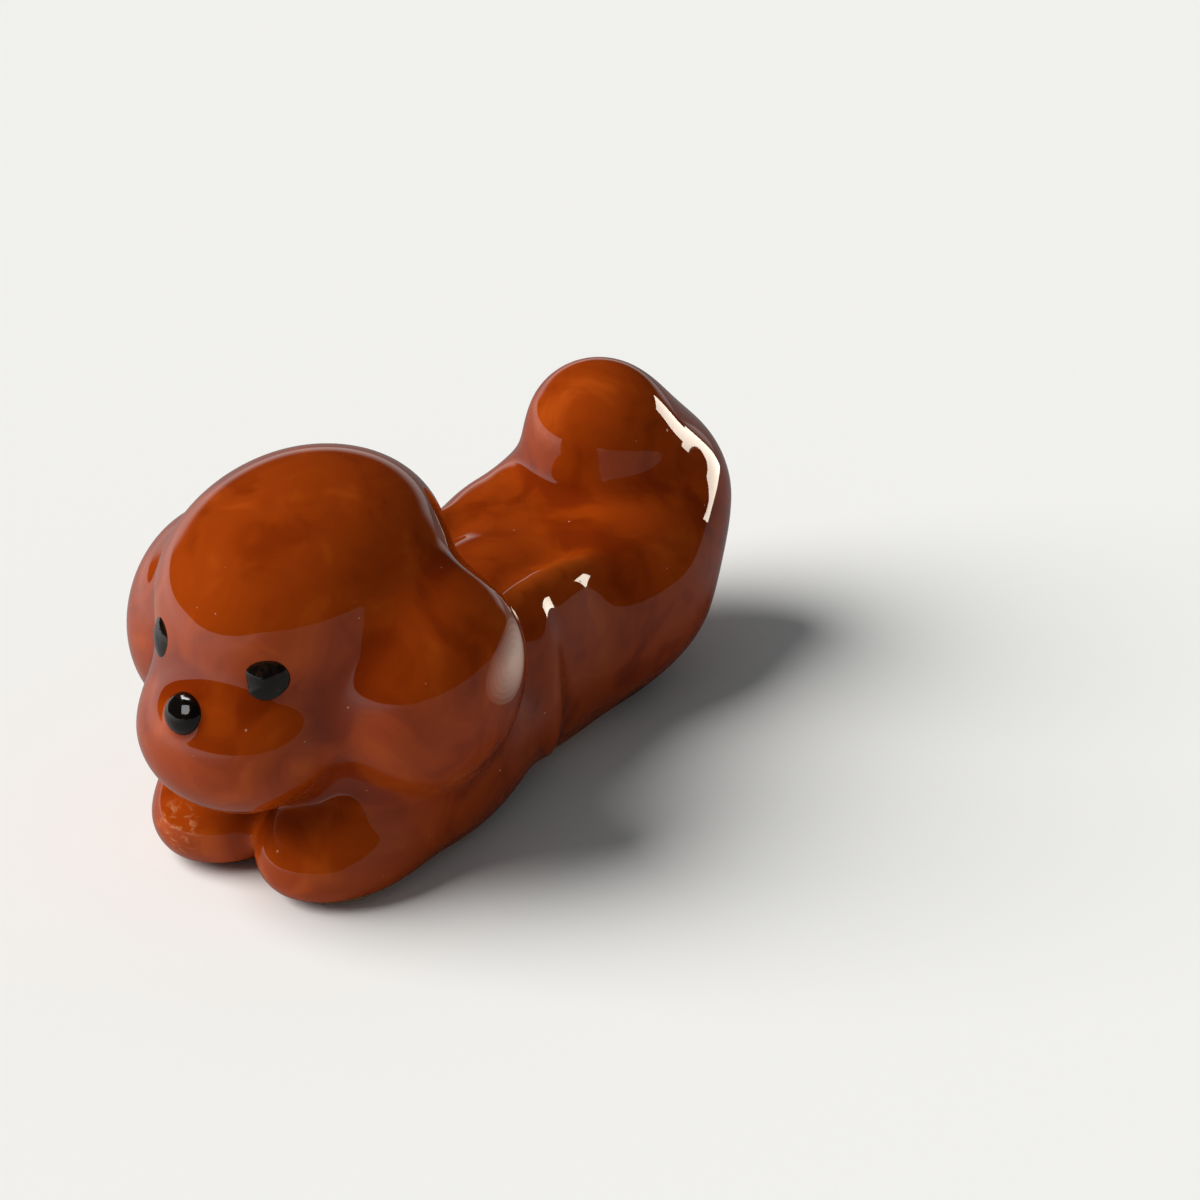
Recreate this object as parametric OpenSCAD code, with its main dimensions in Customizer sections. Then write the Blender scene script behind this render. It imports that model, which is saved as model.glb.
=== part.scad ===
// Chopstick rest in the shape of a lying dog, in glazed stoneware.
// Clay lobes are smoothed into one skin, and each pad of clay that a maker joins is its own solid.
// The dog faces -Y, its left side is +X, +Z is up, and the origin lies on the table under the
// middle of the rest. Every length is in millimetres.

/* [Head] */
// Width of the crown, side to side
head_w = 16.6; // [14.6:0.1:18.6]
// Length of the crown, front to back
head_l = 20.6; // [18.6:0.1:22.6]
// Height of the crown
head_h = 14; // [12.5:0.1:16]
// Forward lean of the crown, in degrees
head_lean = 7; // [0:0.5:12]
// How far the crown sinks into the chest
neck_sink = 3.2; // [2.2:0.1:4.2]
// Width of one cheek
cheek_w = 8.1; // [7.1:0.1:9.1]
// Length of a cheek, front to back
cheek_l = 13.4; // [11.9:0.1:14.9]
// Height of a cheek
cheek_h = 14.7; // [13.2:0.1:16.2]
// How far a cheek's middle lies inside the crown's side
cheek_in = 2.3; // [1.5:0.1:3.1]
// How far a cheek's middle lies behind the crown's middle
cheek_back = 2.9; // [2:0.1:3.8]
// How far a cheek's middle lies below the crown's underside
cheek_low = 0.7; // [0:0.1:1.4]

/* [Muzzle] */
// Width of the muzzle
muzzle_w = 12.6; // [11:0.1:14.5]
// Length of the muzzle, front to back
muzzle_l = 10.9; // [9.5:0.1:12.5]
// Height of the muzzle
muzzle_h = 10.1; // [9:0.1:11.5]
// Downward tip of the muzzle, in degrees
muzzle_tip = 7; // [0:0.5:14]
// How far the muzzle's middle lies inside the crown's front
muzzle_in = 3.1; // [2.2:0.1:4]
// How far the muzzle's middle lies below the crown's underside
muzzle_low = 0.9; // [0.2:0.1:1.6]
// How much shallower the muzzle's pad ends than the crease, clear of the eyes
muzzle_seam = 0.8; // [0.6:0.1:1.2]

/* [Nose and eyes] */
// Diameter of the nose bead
nose_d = 2.6; // [2:0.1:3.2]
// How far the nose bead stands out of the muzzle
nose_out = 1; // [0.6:0.1:1.2]
// Height of the nose above the muzzle's middle
nose_rise = 3.2; // [2.4:0.1:3.8]
// Distance of the left eye's middle from the mid-plane
eye_out = 4.4; // [3.8:0.1:5]
// Height of the left eye above the crown's underside
eye_rise = 4.6; // [3.8:0.1:5.4]
// Distance of the right eye's middle from the mid-plane. The enamel is dotted on by hand.
far_eye_out = 3.8; // [3.4:0.1:4.6]
// Height of the right eye above the crown's underside
far_eye_rise = 5.1; // [4.4:0.1:5.6]
// Width of an eye
eye_w = 2.7; // [2:0.1:3.2]
// Height of an eye
eye_h = 2.4; // [1.8:0.1:2.8]
// How far an eye's enamel stands proud of the face
eye_proud = 0.25; // [0.2:0.05:0.4]
// How deep an eye's enamel sits in the face
eye_seat = 0.45; // [0.4:0.05:0.6]

/* [Ears] */
// Thickness of an ear's lobe, side to side
ear_w = 9.9; // [8.8:0.1:11]
// Length of an ear's lobe, front to back
ear_l = 13.1; // [11.7:0.1:14.5]
// Height of an ear's lobe
ear_h = 14; // [12.5:0.1:15.5]
// How far an ear's middle lies outside the crown's side
ear_out = 0.4; // [0:0.1:1]
// How far an ear's middle lies behind the crown's middle
ear_back = 1.6; // [0.8:0.1:2.6]
// Height of an ear's middle above the crown's underside
ear_rise = 1.2; // [0.4:0.1:1.9]
// Lean of an ear towards the back, in degrees
ear_lean = 38.5; // [33:0.5:44]
// Turn of an ear's front edge towards the face, in degrees
ear_turn = 5.5; // [0:0.5:11]
// Distance from the head's mid-plane to an ear's inner seat
ear_seat = 6.4; // [5.6:0.1:7.2]

/* [Chest and forelegs] */
// Width of the chest
chest_w = 18.2; // [16.5:0.1:20]
// Length of the chest's lobe, front to back
chest_l = 19; // [17.2:0.1:20.8]
// Full height of the chest's lobe
chest_h = 15.6; // [14.1:0.1:17.1]
// Height of the chest's top above the table
chest_top = 15.2; // [14:0.1:16.4]
// How far the chest's middle lies behind the crown's middle
chest_back = 5.1; // [4.1:0.1:6.1]
// Thickness of a foreleg
arm_w = 7.1; // [6.2:0.1:8]
// Length of a foreleg
arm_l = 20.3; // [18.5:0.1:22]
// Full height of a foreleg's lobe
arm_h = 9.7; // [8.6:0.1:10.8]
// Height of a foreleg's top above the table
arm_top = 9.4; // [8.6:0.1:10.2]
// How far a foreleg's middle lies inside the chest's side
arm_in = 2.6; // [1.8:0.1:3.4]
// How far a foreleg's middle lies ahead of the chest's middle
arm_ahead = 1; // [0:0.1:2]
// Turn of a foreleg towards the middle, in degrees
arm_turn = 2.3; // [0:0.1:6]
// Width of a paw
paw_w = 9.9; // [8.8:0.1:11]
// Length of a paw
paw_l = 13; // [11.5:0.1:14.5]
// Full height of a paw's lobe
paw_h = 7.5; // [6.8:0.1:8.4]
// Height of a paw's top above the table
paw_top = 6.4; // [5.8:0.1:7]
// Distance between the middles of the paws
paw_gap = 8.6; // [7.8:0.1:9.4]
// How far the paws reach ahead of the chest's front
paw_reach = 4.15; // [3:0.05:5.3]
// Turn of a paw towards the middle, in degrees
paw_turn = 4.7; // [0:0.1:9]

/* [Back and haunches] */
// Width of the belly
belly_w = 15.9; // [14.4:0.1:17.4]
// Length of the belly's lobe
belly_l = 31.2; // [28.2:0.1:34.2]
// Full height of the belly's lobe
belly_h = 16.2; // [14.7:0.1:17.7]
// Height of the saddle's clay above the table, before it is smoothed in
belly_top = 13; // [12:0.1:14]
// How far the belly's middle lies behind the chest's middle
belly_back = 14.6; // [13:0.1:16]
// Thickness of a flank's lobe, side to side
flank_w = 4.9; // [4.4:0.1:5.4]
// Length of a flank's lobe
flank_l = 21.4; // [19.2:0.1:23.6]
// Full height of a flank's lobe
flank_h = 12; // [10.8:0.1:13.2]
// Height of a flank's top above the table
flank_top = 13.7; // [12.9:0.1:14.5]
// Distance between the middles of the flanks
flank_gap = 11.6; // [10.8:0.1:12.4]
// How far a flank's middle lies ahead of the belly's middle
flank_ahead = 3.7; // [2.7:0.1:4.7]
// Width of a haunch's lobe
haunch_w = 11.6; // [10.4:0.1:12.8]
// Length of a haunch's lobe
haunch_l = 15.8; // [14.2:0.1:17.4]
// Full height of a haunch's lobe
haunch_h = 13; // [11.7:0.1:14.3]
// Height of a haunch's top above the table
haunch_top = 13.6; // [12.6:0.1:14.6]
// Distance between the middles of the haunches
haunch_gap = 8.1; // [7.2:0.1:9]
// How far a haunch's middle lies behind the belly's middle
haunch_back = 8.8; // [7.6:0.1:10]
// Distance from the mid-plane to a haunch's inner seat
haunch_seat = 3.5; // [2.5:0.1:4.5]

/* [Rump and tail] */
// Width of the rump
rump_w = 15.5; // [14:0.1:17]
// Length of the rump's lobe, front to back
rump_l = 13.3; // [12:0.1:14.6]
// Height of the rump's lobe
rump_h = 14.4; // [13:0.1:15.8]
// Height of the rump's top above the table
rump_top = 18.1; // [17:0.1:19.2]
// How far the rump's middle lies behind the belly's middle
rump_back = 15.1; // [13.7:0.1:16.5]
// Width of the tail
tail_w = 10.6; // [9.5:0.1:11.7]
// Length of the tail's lobe, front to back
tail_l = 9.9; // [8.9:0.1:10.9]
// Height of the tail's lobe
tail_h = 10.3; // [9.3:0.1:11.3]
// How far the tail sinks into the rump
tail_sink = 7; // [6.2:0.1:7.8]
// How far the tail's middle lies ahead of the rump's middle
tail_ahead = 2.8; // [2:0.1:3.6]

/* [Smoothing] */
// Reach of the smoothing among the crown, cheeks and muzzle
face_blend = 4.3; // [3.5:0.1:5]
// Reach of the smoothing round an ear
ear_blend = 2.3; // [1.7:0.1:2.9]
// Reach of the smoothing between head and body
neck_blend = 1.5; // [1:0.1:2.2]
// Reach of the smoothing between chest and belly
shoulder_blend = 2.6; // [2:0.1:3.2]
// Reach of the smoothing between belly and flanks
flank_blend = 1.6; // [1.2:0.1:2.2]
// Reach of the smoothing along the back
back_blend = 3.1; // [2.4:0.1:3.8]
// Reach of the smoothing round the tail
tail_blend = 2.5; // [1.8:0.1:3.2]
// Reach of the smoothing round a foreleg
arm_blend = 2.1; // [1.5:0.1:2.7]
// Reach of the smoothing round a paw
paw_blend = 1.2; // [0.8:0.1:1.6]

/* [Foot] */
// Height of the unglazed foot under the glaze line
foot_h = 0.4; // [0.3:0.05:0.8]
// How far the foot is set in from the glaze line
foot_inset = 0.6; // [0.3:0.05:1]

/* [Hidden] */

// Colours of the glaze, the enamel and the bare clay
glaze = "#7d3a16";
enamel = "#15110f";
bare_clay = "#c8a684";

// The space of a pad of clay ends this far outside its own skin, clear of all that is smoothed in
rim = 2;
// A skin is worked this far past the joint that trims it
spare = 0.5;
// A skin is followed in strides no longer than this, until it is this close
stride = 6;
fine = 0.01;

// Rings and spokes of the skins, all even
head_rings = 20;
head_spokes = 38;
cap_rings = 7;
back_rings = 18;
body_spokes = 36;
pad_rings = 12;
pad_spokes = 24;
bead_rings = 8;
bead_spokes = 16;
steps = 20;

// Heights of the main lobes' middles, and the underside of the crown
crown_low = chest_top - neck_sink;
head_z = crown_low + head_h / 2;
muzzle_z = crown_low - muzzle_low;

// Places along the dog from the crown's middle, back towards the rump
muzzle_at = muzzle_in - head_l / 2;
chest_at = chest_back;
paw_at = chest_at - chest_l / 2 - paw_reach + paw_l / 2;
belly_at = chest_at + belly_back;
rump_at = belly_at + rump_back;

// The lobes, each a middle and a matrix that turns it into a unit ball
crown = lobe([0, 0, head_z], [head_w, head_l, head_h], [head_lean, 0, 0]);
cheek = lobe([head_w / 2 - cheek_in, cheek_back, crown_low - cheek_low], [cheek_w, cheek_l, cheek_h]);
muzzle_lobe = lobe([0, muzzle_at, muzzle_z], [muzzle_w, muzzle_l, muzzle_h], [-muzzle_tip, 0, 0]);
ear = lobe(
  [head_w / 2 + ear_out, ear_back, crown_low + ear_rise],
  [ear_w, ear_l, ear_h], [-ear_lean, 0, -ear_turn]
);
chest = lobe([0, chest_at, chest_top - chest_h / 2], [chest_w, chest_l, chest_h]);
arm = lobe([chest_w / 2 - arm_in, chest_at - arm_ahead, arm_top - arm_h / 2], [arm_w, arm_l, arm_h], [0, 0, -arm_turn]);
paw = lobe([paw_gap / 2, paw_at, paw_top - paw_h / 2], [paw_w, paw_l, paw_h], [0, 0, -paw_turn]);
belly = lobe([0, belly_at, belly_top - belly_h / 2], [belly_w, belly_l, belly_h]);
flank = lobe([flank_gap / 2, belly_at - flank_ahead, flank_top - flank_h / 2], [flank_w, flank_l, flank_h]);
haunch = lobe([haunch_gap / 2, belly_at + haunch_back, haunch_top - haunch_h / 2], [haunch_w, haunch_l, haunch_h]);
rump = lobe([0, rump_at, rump_top - rump_h / 2], [rump_w, rump_l, rump_h]);
tail_lobe = lobe([0, rump_at - tail_ahead, rump_top - tail_sink + tail_h / 2], [tail_w, tail_l, tail_h]);
far_cheek = other_side(cheek);
far_ear = other_side(ear);
far_arm = other_side(arm);
far_paw = other_side(paw);
far_flank = other_side(flank);
far_haunch = other_side(haunch);

// Middles from which the skins are followed outwards
head_heart = [0, ear_back, crown_low + cheek_h / 4];
leg_heart = (arm[0] + paw[0]) / 2;

// Longer than the whole rest
beyond = head_l + chest_l + belly_l + rump_l;

// Seats of the nose and the eyes on the face
ahead = [0, -1, 0];
nose_seat = seat([0, muzzle_at, muzzle_z + nose_rise], ahead);
eye_place = seat([eye_out, 0, crown_low + eye_rise], ahead);
far_eye_place = seat([-far_eye_out, 0, crown_low + far_eye_rise], ahead);

// The rest is centred on the origin between its muzzle or nose and its rump
muzzle_front = muzzle_at - norm([cos(muzzle_tip) * muzzle_l, sin(muzzle_tip) * muzzle_h]) / 2;
nose_front = nose_seat[0][1] - (nose_d / 2 - nose_out) * nose_seat[1][1] - nose_d / 2;
front_y = min(muzzle_front, nose_front);
rear_y = rump_at + follow(function (p) body_skin(p), rump[0], -ahead);
centre_y = (front_y + rear_y) / 2;

// Turning matrix for tilts about X, then Y, then Z
function turning(a) = let (
    cx = cos(a[0]), sx = sin(a[0]), cy = cos(a[1]), sy = sin(a[1]), cz = cos(a[2]), sz = sin(a[2])
  ) [
    [cz * cy, cz * sy * sx - sz * cx, cz * sy * cx + sz * sx],
    [sz * cy, sz * sy * sx + cz * cx, sz * sy * cx - cz * sx],
    [-sy, cy * sx, cy * cx]
  ];

// An oval lobe of clay of a full size, at its middle and tilted
function lobe(at, size, tilt = [0, 0, 0]) = let (m = turning(tilt))
  [at, [for (i = [0:2]) [for (j = [0:2]) m[j][i] * 2 / size[i]]]];

// The same lobe on the dog's other side
function other_side(e) = [
  [-e[0][0], e[0][1], e[0][2]],
  [for (i = [0:2]) [-e[1][i][0], e[1][i][1], e[1][i][2]]]
];

// Height of a point over a lobe's skin, negative inside
function over(p, e) = let (q = e[1] * (p - e[0]), k = norm(q)) k * (k - 1) / max(norm(q * e[1]), fine * fine);

// Two heights smoothed into one within a reach
function blend(a, b, reach) = let (h = max(reach - abs(a - b), 0)) min(a, b) - h * h / (4 * reach);

// Heights over the skins of the crown, the face, the head, the back, the body and the whole dog
function crown_skin(p) = blend(blend(over(p, crown), over(p, cheek), face_blend), over(p, far_cheek), face_blend);
function face_skin(p) = blend(crown_skin(p), over(p, muzzle_lobe), face_blend);
function head_skin(p) = blend(blend(face_skin(p), over(p, ear), ear_blend), over(p, far_ear), ear_blend);
function sides_skin(p) = blend(
  blend(over(p, belly), over(p, flank), flank_blend), over(p, far_flank), flank_blend
);
function belly_skin(p) = blend(over(p, chest), sides_skin(p), shoulder_blend);
function back_skin(p) = blend(
  blend(blend(belly_skin(p), over(p, haunch), back_blend), over(p, far_haunch), back_blend),
  over(p, rump), back_blend
);
function with_legs(p, trunk) = blend(
  blend(blend(blend(trunk, over(p, arm), arm_blend), over(p, far_arm), arm_blend), over(p, paw), paw_blend),
  over(p, far_paw), paw_blend
);
function trunk_skin(p) = with_legs(p, back_skin(p));
function body_skin(p) = with_legs(p, blend(back_skin(p), over(p, tail_lobe), tail_blend));
function dog_skin(p) = blend(head_skin(p), body_skin(p), neck_blend);

// How far a ray from inside runs until it meets a skin
function follow(skin, from, way, run = 0, left = steps) = let (h = skin(from + run * way))
  abs(h) < fine || left == 0 ? run : follow(skin, from, way, run + min(-h, stride), left - 1);

// Place and outward direction of a bead that sits on the dog's skin
function seat(from, way) = let (
    at = from + follow(function (p) dog_skin(p), from, way) * way,
    slope = [for (i = [0:2]) let (e = [for (j = [0:2]) i == j ? fine : 0]) dog_skin(at + e) - dog_skin(at - e)]
  ) [at, slope / norm(slope)];

// Height over the joint between a pad's own skin and the rest. Both are equally deep there, which is
// the bottom of their valley, and outside the clay the joint turns off along the rim.
function joint(own, rest) = (own - min(rest, rim)) / 2;
function head_joint(p) = joint(head_skin(p), body_skin(p));
function muzzle_joint(p) = joint(over(p, muzzle_lobe) + muzzle_seam, crown_skin(p));
function ear_joint(p) = joint(over(p, ear), face_skin(p));
function foreleg_joint(p) = joint(blend(over(p, arm), over(p, paw), arm_blend), back_skin(p));
function haunch_joint(p) = joint(over(p, haunch), blend(belly_skin(p), over(p, rump), back_blend));
function tail_joint(p) = joint(over(p, tail_lobe), trunk_skin(p));
function trunk_joint(p) = joint(trunk_skin(p), rim / 2);

// A ray's run to the dog's skin, or just past a joint where that comes first
function skin_run(joint, from, way) = let (run = follow(joint, from, way))
  dog_skin(from + run * way) < 0 ? run + spare : follow(function (p) dog_skin(p), from, way, run);

// Rays from one middle, from the top down, with the first spoke ahead or half a spoke to its side
function ball_ray(at, rings, spokes, aside = 0) = function (j, i)
  let (dip = 180 * j / rings, swing = 180 * (2 * i + aside) / spokes)
  [at, [sin(dip) * sin(swing), -sin(dip) * cos(swing), cos(dip)]];

// Rays from a line along the body, ahead of its front end, round it, and behind its back end
function body_ray(front, back) = function (j, i) let (
    past = cap_rings + back_rings,
    all_rings = past + cap_rings,
    spread = 90 * min(j, all_rings - j, cap_rings) / cap_rings,
    share = min(max(j - cap_rings, 0), back_rings) / back_rings,
    swing = 360 * i / body_spokes,
    along = j < cap_rings ? -cos(spread) : j > past ? cos(spread) : 0
  ) [
    front + share * (back - front),
    [-sin(spread) * sin(swing), along, sin(spread) * cos(swing)]
  ];

// Points of a closed skin: a pole, the rings between and the other pole. A skin that is alike on
// both sides of the mid-plane is followed on one side alone.
function skin_points(run, ray, rings, spokes, alike, aside) = let (
    last = alike ? floor((spokes - aside) / 2) : spokes - 1,
    runs = [for (j = [0:rings]) [for (i = [0:last]) let (r = ray(j, i)) run(r[0], r[1])]],
    point = function (j, i) let (r = ray(j, i))
      r[0] + runs[j][alike ? min(i, spokes - aside - i) : i] * r[1]
  ) [
    point(0, 0),
    for (j = [1:rings - 1]) for (i = [0:spokes - 1]) point(j, i),
    point(rings, 0)
  ];

// Triangles of such a skin, split alike on both sides of the mid-plane
function skin_faces(rings, spokes) = let (
    id = function (j, i) 1 + (j - 1) * spokes + i % spokes,
    last = 1 + (rings - 1) * spokes
  ) [
    for (i = [0:spokes - 1]) [0, id(1, i + 1), id(1, i)],
    for (j = [1:rings - 2]) for (i = [0:spokes - 1])
      let (a = id(j, i), b = id(j, i + 1), c = id(j + 1, i + 1), d = id(j + 1, i))
        each i < spokes / 2 ? [[a, b, c], [a, c, d]] : [[a, b, d], [b, c, d]],
    for (i = [0:spokes - 1]) [last, id(rings - 1, i), id(rings - 1, i + 1)]
  ];

// A closed skin as a solid
module skin(run, ray, rings, spokes, alike = true, aside = 0) {
  polyhedron(skin_points(run, ray, rings, spokes, alike, aside), skin_faces(rings, spokes));
}

// The same child on the dog's other side
module other_half() {
  mirror([1, 0, 0]) children();
}

// What lies further out than a distance from the mid-plane, on the left
module left_of(x) {
  difference() {
    children();
    translate([x - beyond, -beyond, -beyond]) cube([beyond, 2 * beyond, 2 * beyond]);
  }
}

// What lies above the glaze line
module above_glaze_line() {
  difference() {
    children();
    translate([-beyond, -beyond, foot_h - beyond]) cube([2 * beyond, 2 * beyond, beyond]);
  }
}

// Everything is drawn from the crown's middle and moved to the origin once
module placed() {
  translate([0, -centre_y, 0]) children();
}

// The space inside a joint, from a middle in it. Its spokes lie between those of the clay.
module space(joint, at, rings, spokes) {
  skin(
    function (from, way) follow(joint, from, way),
    ball_ray(at, rings, spokes, 1), rings, spokes, at[0] == 0, 1
  );
}

// The clay inside a joint, from the same middle
module clay(joint, at, rings, spokes) {
  intersection() {
    skin(
      function (from, way) skin_run(joint, from, way),
      ball_ray(at, rings, spokes), rings, spokes, at[0] == 0
    );
    space(joint, at, rings, spokes);
  }
}

module head_space() {
  space(function (p) head_joint(p), head_heart, head_rings, head_spokes);
}

module muzzle_space() {
  space(function (p) muzzle_joint(p), muzzle_lobe[0], pad_rings, pad_spokes);
}

module ear_space() {
  left_of(ear_seat) space(function (p) ear_joint(p), ear[0], pad_rings, pad_spokes);
}

module foreleg_space() {
  left_of(0) space(function (p) foreleg_joint(p), leg_heart, pad_rings, pad_spokes);
}

module haunch_space() {
  left_of(haunch_seat) space(function (p) haunch_joint(p), haunch[0], pad_rings, pad_spokes);
}

module tail_space() {
  space(function (p) tail_joint(p), tail_lobe[0], pad_rings, pad_spokes);
}

// The enamel beads on the face
module beads() {
  nose_bead();
  eye_bead(eye_place);
  eye_bead(far_eye_place);
}

// An oval bead of full size, sunk from a seat against the seat's direction
module bead(place, size, sink) {
  way = place[1];
  own = lobe([0, 0, 0], size);
  ray = ball_ray([0, 0, 0], bead_rings, bead_spokes);
  translate(place[0] - sink * way)
    rotate([0, acos(way[2]), atan2(way[1], way[0])])
      skin(function (from, way) 1 / norm(own[1] * way), ray, bead_rings, bead_spokes, alike = false);
}

module nose_bead() {
  bead(nose_seat, [nose_d, nose_d, nose_d], nose_d / 2 - nose_out);
}

// The dot's widest section lies just under the seat, where the round face meets it all round
module eye_bead(place) {
  bead(place, [eye_h, eye_w, eye_proud + eye_seat], (eye_seat - eye_proud) / 2);
}

module nose() {
  color(enamel) placed() nose_bead();
}

module eye_left() {
  color(enamel) placed() eye_bead(eye_place);
}

module eye_right() {
  color(enamel) placed() eye_bead(far_eye_place);
}

module muzzle() {
  color(glaze) placed() difference() {
    intersection() {
      clay(function (p) muzzle_joint(p), muzzle_lobe[0], pad_rings, pad_spokes);
      head_space();
    }
    beads();
  }
}

module ear_left() {
  color(glaze) placed() intersection() {
    left_of(ear_seat) clay(function (p) ear_joint(p), ear[0], pad_rings, pad_spokes);
    head_space();
  }
}

module ear_right() {
  other_half() ear_left();
}

module head() {
  color(glaze) placed() difference() {
    clay(function (p) head_joint(p), head_heart, head_rings, head_spokes);
    muzzle_space();
    ear_space();
    other_half() ear_space();
    beads();
  }
}

module foreleg_left() {
  color(glaze) placed() above_glaze_line() difference() {
    left_of(0) clay(function (p) foreleg_joint(p), leg_heart, pad_rings, pad_spokes);
    head_space();
  }
}

module foreleg_right() {
  other_half() foreleg_left();
}

module tail() {
  color(glaze) placed() clay(function (p) tail_joint(p), tail_lobe[0], pad_rings, pad_spokes);
}

module haunch_left() {
  color(glaze) placed() above_glaze_line() difference() {
    left_of(haunch_seat) clay(function (p) haunch_joint(p), haunch[0], pad_rings, pad_spokes);
    tail_space();
  }
}

module haunch_right() {
  other_half() haunch_left();
}

module torso() {
  color(glaze) placed() above_glaze_line() difference() {
    skin(
      function (from, way) skin_run(function (p) trunk_joint(p), from, way),
      body_ray([0, chest_at, arm[0][2]], [0, rump_at, haunch[0][2]]), 2 * cap_rings + back_rings, body_spokes
    );
    head_space();
    tail_space();
    foreleg_space();
    other_half() foreleg_space();
    haunch_space();
    other_half() haunch_space();
  }
}

// Outline of the clay at the glaze line, on one side and then back on the other
function foot_outline() = let (
    rings = 2 * cap_rings + back_rings,
    ray = body_ray([0, chest_at, foot_h], [0, belly_at, foot_h]),
    edge = [for (j = [0:rings]) let (r = ray(j, body_spokes / 4))
      r[0] + follow(function (p) body_skin(p), r[0], r[1]) * r[1]]
  ) [
    for (j = [0:rings]) [edge[j][0], edge[j][1]],
    for (j = [rings - 1:-1:1]) [-edge[j][0], edge[j][1]]
  ];

module foot() {
  color(bare_clay) placed() linear_extrude(foot_h) offset(delta = -foot_inset) polygon(foot_outline());
}

torso();
head();
muzzle();
ear_left();
ear_right();
foreleg_left();
foreleg_right();
haunch_left();
haunch_right();
tail();
nose();
eye_left();
eye_right();
foot();
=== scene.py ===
"""Looks for the lying-dog chopstick rest: caramel glaze over blended clay, black enamel eyes and
nose, and a bare clay foot. Sizes are in mm until a mesh is finished, and then in metres."""
import math

import bpy
import numpy as np
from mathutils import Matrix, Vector
from mathutils.bvhtree import BVHTree


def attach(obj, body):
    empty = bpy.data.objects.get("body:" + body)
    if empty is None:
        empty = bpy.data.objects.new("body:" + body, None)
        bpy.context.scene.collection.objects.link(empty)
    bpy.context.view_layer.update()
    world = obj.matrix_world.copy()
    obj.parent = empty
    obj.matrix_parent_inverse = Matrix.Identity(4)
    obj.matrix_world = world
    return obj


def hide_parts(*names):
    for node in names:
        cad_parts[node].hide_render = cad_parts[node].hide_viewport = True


MM = 0.001

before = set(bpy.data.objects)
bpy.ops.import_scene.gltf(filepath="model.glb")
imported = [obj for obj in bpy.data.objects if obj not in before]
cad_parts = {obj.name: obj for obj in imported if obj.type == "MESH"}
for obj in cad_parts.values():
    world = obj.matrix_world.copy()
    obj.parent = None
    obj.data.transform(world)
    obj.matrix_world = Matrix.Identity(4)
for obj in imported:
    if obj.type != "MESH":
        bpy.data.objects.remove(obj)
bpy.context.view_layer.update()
scene = bpy.context.scene


# ---------------------------------------------------------------- sizes of the clay, in mm

CENTRE_Y = 14.34  # from the crown's middle back to the middle of the rest


def lobe(middle, size, tilt=(0, 0, 0)):
    """Middle, full size and tilt of an oval lobe in the part's frame, given from the crown."""
    return (middle[0], middle[1] - CENTRE_Y, middle[2]), size, tuple(math.radians(a) for a in tilt)


LOBES = {
    "crown": lobe((0, 0, 19), (16.6, 20.6, 14), (7, 0, 0)),
    "cheek": lobe((6, 2.9, 11.3), (8.1, 13.4, 14.7)),
    "muzzle": lobe((0, -7.2, 11.1), (12.6, 10.9, 10.1), (-7, 0, 0)),
    "ear": lobe((8.7, 1.6, 13.2), (9.9, 13.1, 14), (-38.5, 0, -5.5)),
    "chest": lobe((0, 5.1, 7.4), (18.2, 19, 15.6)),
    "arm": lobe((6.5, 4.1, 4.55), (7.1, 20.3, 9.7), (0, 0, -2.3)),
    "paw": lobe((4.3, -2.05, 2.65), (9.9, 13, 7.5), (0, 0, -4.7)),
    "belly": lobe((0, 19.7, 4.9), (15.9, 31.2, 16.2)),
    "flank": lobe((5.8, 16, 7.7), (4.9, 21.4, 12)),
    "fold": lobe((7.3, 14.2, 7.3), (2.8, 2.4, 10.2), (0, -8, 0)),
    "haunch": lobe((4.05, 28.5, 7.1), (11.6, 15.8, 13)),
    "rump": lobe((0, 34.8, 10.9), (15.5, 13.3, 14.4)),
    "tail": lobe((0, 32, 16.25), (10.6, 9.9, 10.3)),
}

# reach within which two forms are smoothed into each other
FACE_BLEND, EAR_BLEND, NECK_BLEND, SHOULDER_BLEND = 4.3, 2.3, 2.4, 1.3
BACK_BLEND, FLANK_BLEND, TAIL_BLEND, ARM_BLEND, PAW_BLEND = 3.1, 1.6, 2.5, 2.1, 1.2
FOLD_BLEND, BARE_BLEND = 1.7, 1.0

# where the pads of clay are luted together
MUZZLE_SEAM, EAR_SEAT, HAUNCH_SEAT, RIM = 0.8, 6.4, 3.5, 2.0

GLAZE_LINE, GLAZE_ROLL = 0.4, 0.55
GLAZE_SINK = 0.07  # keeps the skin inside the flat facets of the solids
WAVE_LENGTH, WAVE_HEIGHT = 7.0, 0.06  # soft unevenness that the hand leaves in the clay
NOSE_MIDDLE, NOSE_RADIUS = Vector((0, -25.81, 14.17)), 1.3
NOSE_COLLAR, COLLAR_BLEND = 0.35, 0.9  # the glaze climbs a little way up the bead

# how the skin is meshed and measured
SKIN_LOW, SKIN_HIGH = (-15.0, -29.0, -0.5), (15.0, 29.0, 27.5)
FACET = 0.15
SKIN_DENSITY = 2.0  # of the volume, where the clay's height is 0
SETTLING_ROUNDS, EVENING_ROUNDS = 3, 2
SLOPE_STEP, NORMAL_REACH, RIDGE_REACH = 0.02, 0.12, 0.9
LEAST_STEEPNESS = 0.05  # below it a joint runs along the skin, and no vertex is drawn far
HEART_DEPTH = 0.4  # share of a pad's open rim, down to the place where its walls meet
NO_SLOPE, NO_AREA = 1e-5, 1e-12  # stand in for 0 under a division

PIECES = ("torso", "head", "muzzle", "ear_left", "ear_right", "foreleg_left", "foreleg_right",
          "haunch_left", "haunch_right", "tail")


# ---------------------------------------------------------------- arithmetic in a node tree

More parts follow.
